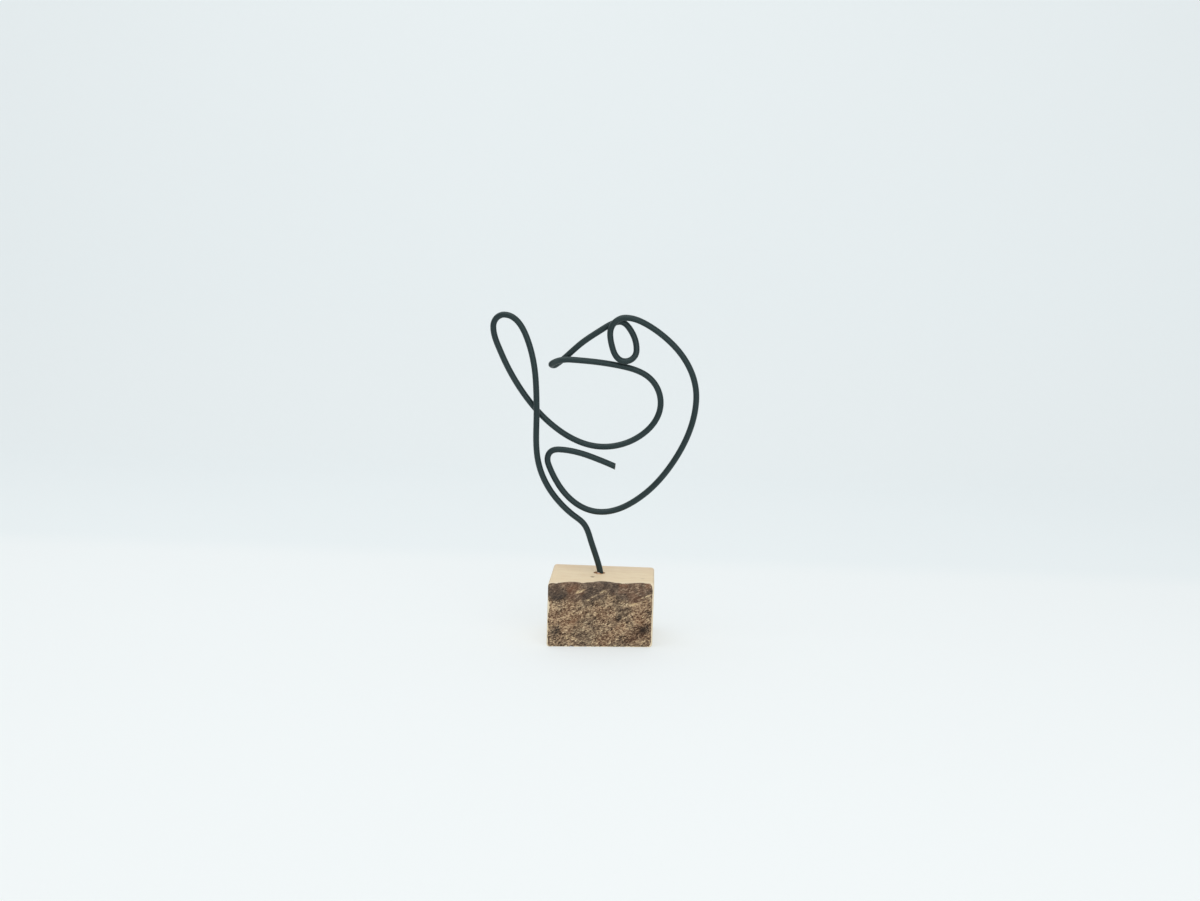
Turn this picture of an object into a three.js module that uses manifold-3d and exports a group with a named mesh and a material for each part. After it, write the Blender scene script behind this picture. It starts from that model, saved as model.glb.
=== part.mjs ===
// Wire sculpture: a bird drawn with one length of wire, standing in a drilled wooden block that keeps its bark
// on the front. Millimetres, +Z up, +X to the viewer's right, the bark faces -Y and the wire lies near one
// upright plane. The origin is on the block's flat underside, halfway between its sides.
import * as THREE from "three";
import { mergeVertices } from "three/addons/utils/BufferGeometryUtils.js";
import Module from "manifold-3d";

// The wire.
const WIRE_DIAMETER = 3;
const WIRE_SIDES = 10; // flats of the faceted section
const SWEEP_STEP = 1.8; // length of one facet along the wire

// The block: its plan is four-sided, and the bark is nearer to the back on the right.
const BLOCK_WIDTH = 50;
const BLOCK_HEIGHT = 31;
const BACK_Y = 20;
const BARK_LEFT_Y = -23;
const BARK_RIGHT_Y = -17;
const CORNER_RADIUS = 1.6; // upright edges, seen from above
const ARRIS = 0.8; // sanded edges of the top and the underside
const SWELL_REACH = 1.2; // how far behind the bark line the bark's swell still acts
const BARK_COLUMNS = 26; // facets across the bark
const BARK_ROWS = 15; // and from the underside to the top
const BARK_SWELL = 0.55; // how far the bark's slow waves leave the flat, each way
const LONG_WAVE = { x: 0.42, z: -0.31 }; // radians per millimetre across and up
const SHORT_WAVE = { x: 0.87, z: 0.52, start: 1.3, share: 0.6 };

// The blind hole that holds the wire's foot.
const HOLE_X = -1.75;
const HOLE_Y = 2.9;
const HOLE_DIAMETER = 5.5;
const HOLE_DEPTH = 17;
const HOLE_SIDES = 24;

// Depths of the wire, along Y. Where one stretch crosses another, they pass in front of and behind the middle.
const MIDDLE = 3;
const FRONT = MIDDLE - 1.7;
const BACK = MIDDLE + 1.7;

// The wire's route, from the foot to the cut end: across, up, depth, and the heading in degrees in the plane of
// the drawing, where 0 is +X and 90 is up. A fifth number tilts the heading out of that plane towards +Y.
const ROUTE = [
  // Foot and stem.
  [-0.9, 14.5, MIDDLE, 90],
  [-0.9, 27, MIDDLE, 90],
  [-3.6, 39, 2.9, 109],
  [-6.6, 47.5, 2.7, 108],
  [-10.1, 55.1, 2.5, 130],
  [-15.4, 59.3, 2.4, 143],
  [-25.6, 69.5, 2.1, 127],
  [-32.5, 83.5, 1.8, 105],
  [-34.1, 103, FRONT, 90],
  [-34.9, 124, FRONT, 95],
  // Tail loop.
  [-39.9, 144.7, 2.2, 113],
  [-50.7, 154.8, MIDDLE, 180],
  [-56, 149.1, 3.6, 270],
  [-52, 136.4, 4.2, 294],
  // Down the belly and up the breast.
  [-40.4, 116.7, BACK, 307],
  [-24, 100.5, BACK, 325],
  [-2.5, 92.8, 4.3, 0],
  [18.7, 101.1, 4.1, 43],
  [25.1, 114.7, 4.1, 91],
  [18.1, 127.7, 4.2, 146],
  // Lower side of the beak, its pinched tip, and the upper side behind it.
  [5, 132.1, 4.2, 170],
  [-18.8, 134.5, FRONT, 178],
  [-22.6, 134.2, FRONT, 188],
  [-26.2, 133, 1.45, 208],
  [-27.7, 131.7, MIDDLE, 300, 70],
  [-25.9, 131.5, 4.55, 35],
  [-20.8, 135.7, BACK, 43],
  [-13.8, 142.2, BACK, 40],
  [-4.3, 149, BACK, 34],
  // Eye.
  [3.7, 153, BACK, 10],
  [9.9, 148.8, 4.3, 303],
  [12.7, 139.5, 3.2, 268],
  [7.3, 134.5, 2, 180],
  [1.5, 140, 1.5, 108],
  [0, 148, FRONT, 88],
  [7.3, 155.2, FRONT, 0],
  // Back and rump.
  [17.2, 152.3, 1.6, 332],
  [29.6, 143.4, 2.3, 317],
  [42, 117.5, MIDDLE, 270],
  [32.6, 87.5, MIDDLE, 239],
  [17.7, 69.7, MIDDLE, 219],
  [-2.3, 61.1, MIDDLE, 180],
  [-22.3, 73, MIDDLE, 125],
  // Breast hook and the cut end.
  [-27.9, 83.4, MIDDLE, 112],
  [-27.3, 89.4, MIDDLE, 48],
  [-22.3, 90.9, MIDDLE, 358],
  [-7.3, 87.9, MIDDLE, 341],
  [4.4, 83.5, MIDDLE, 337],
];

const wireMaterial = new THREE.MeshStandardMaterial({ color: 0x2a2f31, roughness: 0.42, metalness: 0.55 });
const blockMaterial = new THREE.MeshStandardMaterial({ color: 0xd9c39b, roughness: 0.75, metalness: 0 });

// The depth changes evenly from knot to knot, and stands still where it turns or rests.
function depthSlope(before, here, after) {
  const rise = (from, to) => (to[2] - from[2]) / Math.hypot(to[0] - from[0], to[1] - from[1]);
  const arriving = rise(before, here);
  const leaving = rise(here, after);
  return arriving * leaving > 0 ? (2 * arriving * leaving) / (arriving + leaving) : 0;
}

// The wire's direction at one knot of the route.
function directionAt(index) {
  const [, , , heading, tilt] = ROUTE[index];
  const ends = index === 0 || index === ROUTE.length - 1;
  const slope = ends ? 0 : depthSlope(ROUTE[index - 1], ROUTE[index], ROUTE[index + 1]);
  const lean = tilt === undefined ? Math.atan(slope) : THREE.MathUtils.degToRad(tilt);
  const turn = THREE.MathUtils.degToRad(heading);
  const flat = Math.cos(lean);
  return new THREE.Vector3(flat * Math.cos(turn), Math.sin(lean), flat * Math.sin(turn));
}

// One Bezier curve between each two knots. Its handles are those of a circular arc of the same turn.
function wireRoute() {
  const route = new THREE.CurvePath();
  for (let i = 0; i + 1 < ROUTE.length; i += 1) {
    const start = new THREE.Vector3(ROUTE[i][0], ROUTE[i][2], ROUTE[i][1]);
    const end = new THREE.Vector3(ROUTE[i + 1][0], ROUTE[i + 1][2], ROUTE[i + 1][1]);
    const leaving = directionAt(i);
    const arriving = directionAt(i + 1);
    const turn = leaving.angleTo(arriving);
    const handle = (start.distanceTo(end) * 2) / (3 * (1 + Math.cos(turn / 2)));
    const startHandle = start.clone().addScaledVector(leaving, handle);
    const endHandle = end.clone().addScaledVector(arriving, -handle);
    route.add(new THREE.CubicBezierCurve3(start, startHandle, endHandle, end));
  }
  return route;
}

// The section's flats lie on the wire's round, so its corners stand a little outside it.
function wireGeometry() {
  const corner = WIRE_DIAMETER / 2 / Math.cos(Math.PI / WIRE_SIDES);
  const section = new THREE.Shape();
  for (let i = 0; i < WIRE_SIDES; i += 1) {
    const angle = ((i + 0.5) * 2 * Math.PI) / WIRE_SIDES;
    const place = [corner * Math.cos(angle), corner * Math.sin(angle)];
    if (i === 0) {
      section.moveTo(...place);
    } else {
      section.lineTo(...place);
    }
  }
  section.closePath();
  const route = wireRoute();
  const steps = Math.round(route.getLength() / SWEEP_STEP);
  return new THREE.ExtrudeGeometry(section, { steps, extrudePath: route });
}

// Where the flat of the bark face lies at one place across the block.
function barkLine(x) {
  const share = (x + BLOCK_WIDTH / 2) / BLOCK_WIDTH;
  return THREE.MathUtils.lerp(BARK_LEFT_Y, BARK_RIGHT_Y, share);
}

// Slow waves of the bark, strongest in the middle of the face and gone at its edges.
function barkSwell(x, z) {
  const across = Math.cos((Math.PI * x) / BLOCK_WIDTH);
  const up = Math.sin((Math.PI * z) / BLOCK_HEIGHT);
  const long = Math.sin(LONG_WAVE.x * x + LONG_WAVE.z * z);
  const short = Math.sin(SHORT_WAVE.x * x + SHORT_WAVE.z * z + SHORT_WAVE.start);
  const waves = (long + SHORT_WAVE.share * short) / (1 + SHORT_WAVE.share);
  return BARK_SWELL * Math.sqrt(Math.max(0, across * up)) * waves;
}

// The block's plan, with rounded corners and the bark side cut into even facets.
function blockPlan() {
  const half = BLOCK_WIDTH / 2 - ARRIS;
  const back = BACK_Y - ARRIS;
  const left = barkLine(-half) + ARRIS;
  const right = barkLine(half) + ARRIS;
  const round = CORNER_RADIUS - ARRIS;
  const plan = new THREE.Shape();
  plan.moveTo(-half + round, barkLine(-half + round) + ARRIS);
  for (let i = 1; i <= BARK_COLUMNS; i += 1) {
    const x = -half + round + ((2 * half - 2 * round) * i) / BARK_COLUMNS;
    plan.lineTo(x, barkLine(x) + ARRIS);
  }
  plan.quadraticCurveTo(half, right, half, right + round);
  plan.lineTo(half, back - round);
  plan.quadraticCurveTo(half, back, half - round, back);
  plan.lineTo(-half + round, back);
  plan.quadraticCurveTo(-half, back, -half, back - round);
  plan.lineTo(-half, left + round);
  plan.quadraticCurveTo(-half, left, -half + round, barkLine(-half + round) + ARRIS);
  return plan;
}

function solidFrom(geometry, wasm) {
  const plain = geometry.clone();
  plain.deleteAttribute("normal");
  plain.deleteAttribute("uv");
  const merged = mergeVertices(plain, 1e-4);
  return new wasm.Manifold(
    new wasm.Mesh({
      numProp: 3,
      vertProperties: merged.attributes.position.array,
      triVerts: new Uint32Array(merged.index.array),
    }),
  );
}

function geometryFrom(solid) {
  const mesh = solid.getMesh();
  const geometry = new THREE.BufferGeometry();
  geometry.setAttribute("position", new THREE.BufferAttribute(mesh.vertProperties, 3));
  geometry.setIndex(new THREE.BufferAttribute(mesh.triVerts, 1));
  geometry.computeVertexNormals();
  return geometry;
}

// The sawn block with its bark face, before it is drilled.
function blockBody() {
  const body = new THREE.ExtrudeGeometry(blockPlan(), {
    depth: BLOCK_HEIGHT - 2 * ARRIS,
    steps: BARK_ROWS,
    curveSegments: 2,
    bevelThickness: ARRIS,
    bevelSize: ARRIS,
    bevelSegments: 2,
  });
  body.translate(0, 0, ARRIS);
  const place = body.attributes.position;
  for (let i = 0; i < place.count; i += 1) {
    const x = place.getX(i);
    const y = place.getY(i);
    const z = place.getZ(i);
    if (y < barkLine(x) + SWELL_REACH) {
      place.setY(i, y - barkSwell(x, z));
    }
  }
  return body;
}

// The drill leaves a plain round hole with a flat bottom.
function holeBody() {
  const over = 1; // the cutter reaches past the top, so that the cut is clean
  const drill = new THREE.CylinderGeometry(HOLE_DIAMETER / 2, HOLE_DIAMETER / 2, HOLE_DEPTH + over, HOLE_SIDES);
  drill.rotateX(Math.PI / 2);
  drill.translate(HOLE_X, HOLE_Y, BLOCK_HEIGHT + over - (HOLE_DEPTH + over) / 2);
  return drill;
}

const wasm = await Module();
wasm.setup();

const bird = new THREE.Mesh(wireGeometry(), wireMaterial);
bird.name = "wire_bird";

const drilled = solidFrom(blockBody(), wasm).subtract(solidFrom(holeBody(), wasm));
const block = new THREE.Mesh(geometryFrom(drilled), blockMaterial);
block.name = "bark_block";

const sculpture = new THREE.Group();
sculpture.add(block, bird);

export default sculpture;
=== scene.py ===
import math
import bpy
from mathutils import Matrix, Vector, noise


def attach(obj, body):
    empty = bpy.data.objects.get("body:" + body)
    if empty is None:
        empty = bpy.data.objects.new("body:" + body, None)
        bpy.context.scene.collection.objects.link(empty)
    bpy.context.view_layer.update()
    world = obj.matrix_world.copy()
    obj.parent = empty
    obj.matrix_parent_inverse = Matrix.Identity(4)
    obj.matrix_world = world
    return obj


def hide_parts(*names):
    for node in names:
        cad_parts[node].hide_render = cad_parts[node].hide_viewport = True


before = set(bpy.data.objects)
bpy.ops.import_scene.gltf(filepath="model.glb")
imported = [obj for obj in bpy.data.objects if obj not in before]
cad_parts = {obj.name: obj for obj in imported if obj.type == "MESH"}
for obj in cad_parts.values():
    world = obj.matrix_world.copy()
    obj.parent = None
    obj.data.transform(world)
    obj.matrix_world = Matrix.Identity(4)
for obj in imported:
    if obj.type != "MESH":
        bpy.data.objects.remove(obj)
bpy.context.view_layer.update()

MM = 0.001

# The wire, and its depths along Y where one stretch passes another.
WIRE_DIAMETER = 2.94
WIRE_FACET = 0.42
WIRE_SIDES = 32
MIDDLE = 3
ASIDE = 1.7
FRONT = MIDDLE - ASIDE
BACK = MIDDLE + ASIDE

# The wire's route: across, up, depth, and the heading in degrees in the plane of the drawing, where 0 is +X
# and 90 is up. A fifth number tilts the heading out of that plane towards +Y.
ROUTE = [
    # Foot and stem.
    (-0.9, 14.5, MIDDLE, 90),
    (-0.9, 27, MIDDLE, 90),
    (-3.6, 39, 2.9, 109),
    (-6.6, 47.5, 2.7, 108),
    (-10.1, 55.1, 2.5, 130),
    (-15.4, 59.3, 2.4, 143),
    (-25.6, 69.5, 2.1, 127),
    (-32.5, 83.5, 1.8, 105),
    (-34.1, 103, FRONT, 90),
    (-34.9, 124, FRONT, 95),
    # Tail loop.
    (-39.9, 144.7, 2.2, 113),
    (-50.7, 154.8, MIDDLE, 180),
    (-56, 149.1, 3.6, 270),
    (-52, 136.4, 4.2, 294),
    # Down the belly and up the breast.
    (-40.4, 116.7, BACK, 307),
    (-24, 100.5, BACK, 325),
    (-2.5, 92.8, 4.3, 0),
    (18.7, 101.1, 4.1, 43),
    (25.1, 114.7, 4.1, 91),
    (18.1, 127.7, 4.2, 146),
    # Lower side of the beak, its pinched tip, and the upper side behind it.
    (5, 132.1, 4.2, 170),
    (-18.8, 134.5, FRONT, 178),
    (-22.6, 134.2, FRONT, 188),
    (-26.2, 133, 1.45, 208),
    (-27.7, 131.7, MIDDLE, 300, 70),
    (-25.9, 131.5, 4.55, 35),
    (-20.8, 135.7, BACK, 43),
    (-13.8, 142.2, BACK, 40),
    (-4.3, 149, BACK, 34),
    # Eye.
    (3.7, 153, BACK, 10),
    (9.9, 148.8, 4.3, 303),
    (12.7, 139.5, 3.2, 268),
    (7.3, 134.5, 2, 180),
    (1.5, 140, 1.5, 108),
    (0, 148, FRONT, 88),
    (7.3, 155.2, FRONT, 0),
    # Back and rump.
    (17.2, 152.3, 1.6, 332),
    (29.6, 143.4, 2.3, 317),
    (42, 117.5, MIDDLE, 270),
    (32.6, 87.5, MIDDLE, 239),
    (17.7, 69.7, MIDDLE, 219),
    (-2.3, 61.1, MIDDLE, 180),
    (-22.3, 73, MIDDLE, 125),
    # Breast hook and the cut end.
    (-27.9, 83.4, MIDDLE, 112),
    (-27.3, 89.4, MIDDLE, 48),
    (-22.3, 90.9, MIDDLE, 358),
    (-7.3, 87.9, MIDDLE, 341),
    (4.4, 83.5, MIDDLE, 337),
]
BEAK_TIP = Vector((-26.2, 3, 132.2))
PLIER_REACH = 5.0  # how far from the beak's tip the plier marks go
PLIER_PITCH = 0.85  # from tooth mark to tooth mark
PLIER_DEPTH = 0.13
CUT_LEAN = 2.2  # length over which the cut end turns upright
CUT_Z = ROUTE[-1][1]

# The block.
BLOCK_WIDTH = 50
BLOCK_HEIGHT = 31
BACK_Y = 20
FRONT_Y = -20  # halfway along the skewed front
BARK_LEFT_Y = -23
BARK_RIGHT_Y = -17
FRONT_LIMIT = -22.8  # nothing of the bark stands further forward
EDGE_RADIUS = 1.5
TOP_BAND = 0.35  # what lies this close under the top counts as the top
BARK_FACET = 0.25
PLAIN_FACET = 1.4
FINE_UNTIL_Y = -14  # the mesh is fine from the front to here
DENT_BAND = (-7.4, -4)  # and over the two dents
HOLE_X = -1.75
HOLE_Y = 2.9
HOLE_DIAMETER = 5.5
HOLE_DEPTH = 17
HOLE_SIDES = 48

# The bark. Its fibres climb to the right, and its smooth outer skin is left only along the top.
FIBRE_LEAN = math.radians(23)
FACE_REACH = 3.0  # how far behind its flat the bark still has relief
BARK_SWELL = 0.55
SWELL_MOST = 0.5
LONG_WAVE = (0.42, -0.31)  # radians per millimetre across and up
SHORT_WAVE = (0.87, 0.52)
SHORT_START = 1.3
SHORT_SHARE = 0.6
SKIN_STEP = 0.35  # how far the torn fibres start below the skin
SKIN_DEPTH = 0.35
TORN_DEPTH = 0.75
TOP_DROP = 0.25  # how far the bark's lip sinks below the top
RIM_RIGHT = 0.75  # width of the bare wood that sanding has left along the face's edges
RIM_LEFT = 0.35
RIGHT_CORNER = 2.2
LEFT_CORNER = 1.8
# Where the bark is thick enough to show on top: middle along X, half width and depth.
BARK_LIPS = [(-14, 4.2, 2.6), (0.4, 6.0, 4.3), (18, 4.4, 1.9)]
BARK_THIN = 0.9
LIP_RIGHT = 1.75  # how far from each side the bark on top ends
LIP_LEFT = 0.85
# Paler and darker places of the bark face: X, Z, half sizes along and across the fibres, and strength.
TONE_SPOTS = [
    (-9.8, 27.1, 2.2, 0.6, 2.6),
    (1.2, 26.8, 2.0, 0.9, 1.5),
    (-3.6, 24.4, 2.6, 0.6, 0.9),
    (16.1, 20.9, 2.6, 0.8, 1.6),
    (21.0, 24.7, 3.2, 0.4, 1.5),
    (10.5, 21.8, 3.0, 0.8, 0.7),
    (-21.5, 19.5, 2.2, 1.5, 0.7),
    (-8.6, 25.0, 2.6, 1.1, -1.3),
    (20.8, 8.6, 3.4, 2.3, -1.2),
    (-20.6, 7.4, 2.0, 1.9, -0.9),
    (8.6, 13.8, 1.6, 1.1, -0.9),
    (-18.0, 24.5, 5.0, 2.5, -0.6),
    (16.0, 5.0, 6.0, 2.4, -0.6),
]
RUST_SPOTS = [(5.5, 28.8, 7.5, 2.4, 1.0), (20.0, 29.0, 4.0, 2.5, 0.8), (-14.0, 28.0, 4.0, 1.5, 0.35),
              (14.0, 11.0, 6.0, 2.2, 0.5), (-13.0, 13.0, 5.0, 1.8, 0.35)]
# Small dents in the top: X, Y, half sizes and depth.
DENTS = [(-4.74, -5.76, 0.8, 0.9, 0.7), (19.3, -6.2, 0.8, 0.7, 0.15)]
DENT_SHADE = 2.4  # painted shade: how fast a dent is painted darker with its depth
GLUE_SIDE = math.radians(200)  # the side of the wire where the glue climbs
SLIVER_SIZE = (1.7, 0.34, 0.24)
SLIVER_DENSITY = 330000.0  # to the square metre
SLIVER_SEED = 11
BLOCK_VALUES = ("bark", "skin", "relief", "rim", "tone", "rust", "end_grain", "dent")

# The camera, the place that it looks at, and its roll.
LENS = 42
CAMERA_TURN = math.radians(1.935)
CAMERA_RISE = math.radians(7.89)
CAMERA_ROLL = math.radians(1.724)
CAMERA_DISTANCE = 671
LOOK_AT = Vector((-3.15, 0, 91.5))
SOFTBOX_WHITE = (1.0, 0.985, 0.96)


# ---------------- node helpers

def add(tree, kind, sockets=None, **settings):
    """A new node. A socket is given a value, or is fed by another node's output."""
    made = tree.nodes.new(kind)
    for name, value in settings.items():
        setattr(made, name, value)
    for name, value in (sockets or {}).items():
        if isinstance(value, bpy.types.NodeSocket):
            tree.links.new(value, made.inputs[name])
        else:
            made.inputs[name].default_value = value
    return made


def math_node(tree, operation, first, second=0.0, clamp=False):
    return add(tree, "ShaderNodeMath", {0: first, 1: second}, operation=operation, use_clamp=clamp).outputs[0]


def plus(tree, first, second, clamp=False):
    return math_node(tree, "ADD", first, second, clamp)


def minus(tree, first, second):
    return math_node(tree, "SUBTRACT", first, second)


def times(tree, first, second, clamp=False):
    return math_node(tree, "MULTIPLY", first, second, clamp)


def point_value(tree, name):
    """A value that the mesh keeps at each of its points."""
    return add(tree, "ShaderNodeAttribute", attribute_name=name).outputs["Fac"]


def blend_colour(tree, share, first, second, mode="MIX"):
    made = add(tree, "ShaderNodeMix", {0: share, 6: first, 7: second}, data_type="RGBA", blend_type=mode)
    return made.outputs[2]


def ramp(tree, value, stops):
    """Colours along a value, each stop a place from 0 to 1 and a colour."""
    made = add(tree, "ShaderNodeValToRGB", {"Fac": value})
    made.color_ramp.elements.remove(made.color_ramp.elements[1])
    for i, (place, colour) in enumerate(stops):
        element = made.color_ramp.elements[0] if i == 0 else made.color_ramp.elements.new(place)
        element.position = place
        element.color = (*colour, 1)
    return made.outputs["Color"]


def map_range(tree, value, start, end, first=0.0, last=1.0, **settings):
    sockets = {"Value": value, "From Min": start, "From Max": end, "To Min": first, "To Max": last}
    return add(tree, "ShaderNodeMapRange", sockets, **settings).outputs[0]


def grey(level):
    return (level, level, level)


def raise_surface(tree, shader, height, strength, distance):
    bump = add(tree, "ShaderNodeBump", {"Height": height, "Strength": strength, "Distance": distance})
    tree.links.new(bump.outputs[0], shader.inputs["Normal"])


def new_group(name, inputs, outputs):
    """A shader group, and its inputs and outputs as seen from inside."""
    tree = bpy.data.node_groups.new(name, "ShaderNodeTree")
    for label, kind, value in inputs:
        socket = tree.interface.new_socket(label, in_out="INPUT", socket_type=kind)
        if value is not None:
            socket.default_value = value
    for label in outputs:
        tree.interface.new_socket(label, in_out="OUTPUT", socket_type="NodeSocketFloat")
    return tree, tree.nodes.new("NodeGroupInput").outputs, tree.nodes.new("NodeGroupOutput").inputs


def use_group(tree, group, sockets):
    return add(tree, "ShaderNodeGroup", sockets, node_tree=group)


def new_geometry_tree(name, inputs, output):
    """A Geometry Nodes tree, its inputs' identifiers, and its inputs and outputs as seen from inside."""
    tree = bpy.data.node_groups.new(name, "GeometryNodeTree")
    sockets = {}
    for label, kind in inputs:
        sockets[label] = tree.interface.new_socket(label, in_out="INPUT", socket_type=kind).identifier
    tree.interface.new_socket(output, in_out="OUTPUT", socket_type="NodeSocketGeometry")
    given = tree.nodes.new("NodeGroupInput").outputs
    return tree, sockets, given, tree.nodes.new("NodeGroupOutput").inputs


# ---------------- objects

def linked(name, data):
    made = bpy.data.objects.new(name, data)
    bpy.context.collection.objects.link(made)
    return made


def new_mesh(name, places, faces):
    mesh = bpy.data.meshes.new(name)
    mesh.from_pydata(places, [], faces)
    return mesh


def smooth_mesh(name, places, faces, material):
    mesh = new_mesh(name, places, faces)
    mesh.materials.append(material)
    mesh.polygons.foreach_set("use_smooth", [True] * len(mesh.polygons))
    return linked(name, mesh)


def made_plain(name, host, material):
    """The evaluated result of an object's modifiers, as a plain mesh object at the origin."""
    graph = bpy.context.evaluated_depsgraph_get()
    mesh = bpy.data.meshes.new_from_object(host.evaluated_get(graph))
    mesh.name = name
    mesh.materials.clear()
    mesh.materials.append(material)
    bpy.data.objects.remove(host)
    return linked(name, mesh)


def grown(name, tree, sockets, values, material):
    """What a Geometry Nodes tree makes of the given values, as a plain mesh object at the origin."""
    host = linked("host", bpy.data.meshes.new("host"))
    modifier = host.modifiers.new(tree.name, "NODES")
    modifier.node_group = tree
    for label, value in values.items():
        modifier[sockets[label]] = value
    return made_plain(name, host, material)


# ---------------- shared shader groups

def make_mottle():
    """Slow, uneven variation from 0 to 1."""
    tree, given, result = new_group(
        "Mottle",
        [("Vector", "NodeSocketVector", None), ("Scale", "NodeSocketFloat", 60.0),
         ("Detail", "NodeSocketFloat", 4.0), ("Contrast", "NodeSocketFloat", 1.6)],
        ["Value"],
    )
    cloud = add(tree, "ShaderNodeTexNoise", {
        "Vector": given["Vector"], "Scale": given["Scale"], "Detail": given["Detail"],
        "Roughness": 0.6})
    centred = minus(tree, cloud.outputs["Fac"], 0.5)
    spread = times(tree, centred, given["Contrast"])
    tree.links.new(plus(tree, spread, 0.5, clamp=True), result["Value"])
    return tree


def make_fibres():
    """Long thin streaks. They run along X, turned by Lean about Y."""
    tree, given, result = new_group(
        "Fibres",
        [("Vector", "NodeSocketVector", None), ("Lean", "NodeSocketFloat", 0.0),
         ("Length", "NodeSocketFloat", 0.01), ("Width", "NodeSocketFloat", 0.0005),
         ("Waviness", "NodeSocketFloat", 0.0)],
        ["Streak", "Fine"],
    )
    turn = add(tree, "ShaderNodeCombineXYZ", {"Y": given["Lean"]})
    turned = add(tree, "ShaderNodeMapping", {"Vector": given["Vector"], "Rotation": turn.outputs[0]})
    along = math_node(tree, "DIVIDE", 1.0, given["Length"])
    across = math_node(tree, "DIVIDE", 1.0, given["Width"])
    stretch = add(tree, "ShaderNodeCombineXYZ", {"X": along, "Y": across, "Z": across})
    laid = add(tree, "ShaderNodeVectorMath", {
        0: turned.outputs[0], 1: stretch.outputs[0]}, operation="MULTIPLY")
    streak = add(tree, "ShaderNodeTexNoise", {
        "Vector": laid.outputs[0], "Scale": 1.0, "Detail": 3.0, "Roughness": 0.55,
        "Distortion": given["Waviness"]})
    fine = add(tree, "ShaderNodeTexNoise", {
        "Vector": laid.outputs[0], "Scale": 2.7, "Detail": 2.0, "Roughness": 0.6})
    tree.links.new(streak.outputs["Fac"], result["Streak"])
    tree.links.new(fine.outputs["Fac"], result["Fine"])
    return tree


def make_specks():
    """Small separate dots: 1 inside a dot and 0 elsewhere."""
    tree, given, result = new_group(
        "Specks",
        [("Vector", "NodeSocketVector", None), ("Spacing", "NodeSocketFloat", 0.001),
         ("Size", "NodeSocketFloat", 0.2)],
        ["Mask"],
    )
    scale = math_node(tree, "DIVIDE", 1.0, given["Spacing"])
    cells = add(tree, "ShaderNodeTexVoronoi", {
        "Vector": given["Vector"], "Scale": scale, "Randomness": 1.0}, feature="F1")
    keep = math_node(tree, "GREATER_THAN", add(tree, "ShaderNodeSeparateColor", {
        "Color": cells.outputs["Color"]}).outputs[0], 0.55)
    inside = minus(tree, given["Size"], cells.outputs["Distance"])
    soft = times(tree, inside, 8.0, clamp=True)
    tree.links.new(times(tree, soft, keep), result["Mask"])
    return tree


def mottled(tree, group, vector, scale, detail, contrast):
    return use_group(tree, group, {
        "Vector": vector, "Scale": scale, "Detail": detail, "Contrast": contrast}).outputs["Value"]


def speckled(tree, group, vector, spacing, size):
    return use_group(tree, group, {"Vector": vector, "Spacing": spacing, "Size": size}).outputs["Mask"]


# ---------------- materials

def new_material(name):
    material = bpy.data.materials.new(name)
    material.use_nodes = True
    tree = material.node_tree
    shader = tree.nodes["Principled BSDF"]
    place = add(tree, "ShaderNodeTexCoord").outputs["Object"]
    return material, tree, shader, place


def satin_black_wire(mottle, specks):
    """Satin black skin with faint draw lines along the wire and a little pale dust."""
    material, tree, shader, place = new_material("satin_black_wire")
    section = add(tree, "ShaderNodeAttribute", attribute_name="section").outputs["Vector"]
    along = point_value(tree, "along")
    pinch = point_value(tree, "pinch")
    slow = times(tree, along, 22.0)
    down_wire = add(tree, "ShaderNodeCombineXYZ", {"Z": slow})
    laid = add(tree, "ShaderNodeVectorMath", {0: section, 1: down_wire.outputs[0]}, operation="ADD")
    draw = add(tree, "ShaderNodeTexNoise", {
        "Vector": laid.outputs[0], "Scale": 3.4, "Detail": 4.0, "Roughness": 0.7})
    patches = mottled(tree, mottle, place, 130.0, 5.0, 1.8)
    dust = speckled(tree, specks, place, 0.0011, 0.16)
    body = ramp(tree, patches, [
        (0.0, (0.0055, 0.0138, 0.0145)), (0.55, (0.0088, 0.0196, 0.0205)), (1.0, (0.0160, 0.0285, 0.0290))])
    streaked = blend_colour(tree, times(tree, draw.outputs["Fac"], 0.5), body, (0.0260, 0.0310, 0.0320, 1))
    rubbed = blend_colour(tree, times(tree, pinch, 0.75), streaked, (0.085, 0.095, 0.090, 1))
    dusty = blend_colour(tree, times(tree, dust, 0.10), rubbed, (0.25, 0.26, 0.26, 1))
    # The free end is bare metal, browned along the top of the cut.
    cut = point_value(tree, "cut")
    height = add(tree, "ShaderNodeSeparateXYZ", {"Vector": place}).outputs["Z"]
    lower = map_range(tree, height, (CUT_Z + 0.9) * MM, (CUT_Z - 1.0) * MM)
    metal = ramp(tree, lower, [
        (0.0, (0.085, 0.045, 0.026)), (0.55, (0.060, 0.055, 0.052)), (1.0, (0.420, 0.400, 0.370))])
    ended = blend_colour(tree, cut, dusty, metal)
    tree.links.new(ended, shader.inputs["Base Color"])
    rough = plus(tree, times(tree, patches, 0.16), 0.29)
    tree.links.new(minus(tree, rough, times(tree, pinch, 0.1)), shader.inputs["Roughness"])
    shader.inputs["Specular IOR Level"].default_value = 0.40
    shader.inputs["Specular Tint"].default_value = (0.74, 0.97, 1.0, 1)
    lift = plus(tree, draw.outputs["Fac"], times(tree, patches, 0.6))
    raise_surface(tree, shader, lift, 0.10, 0.0002)
    return material


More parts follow.
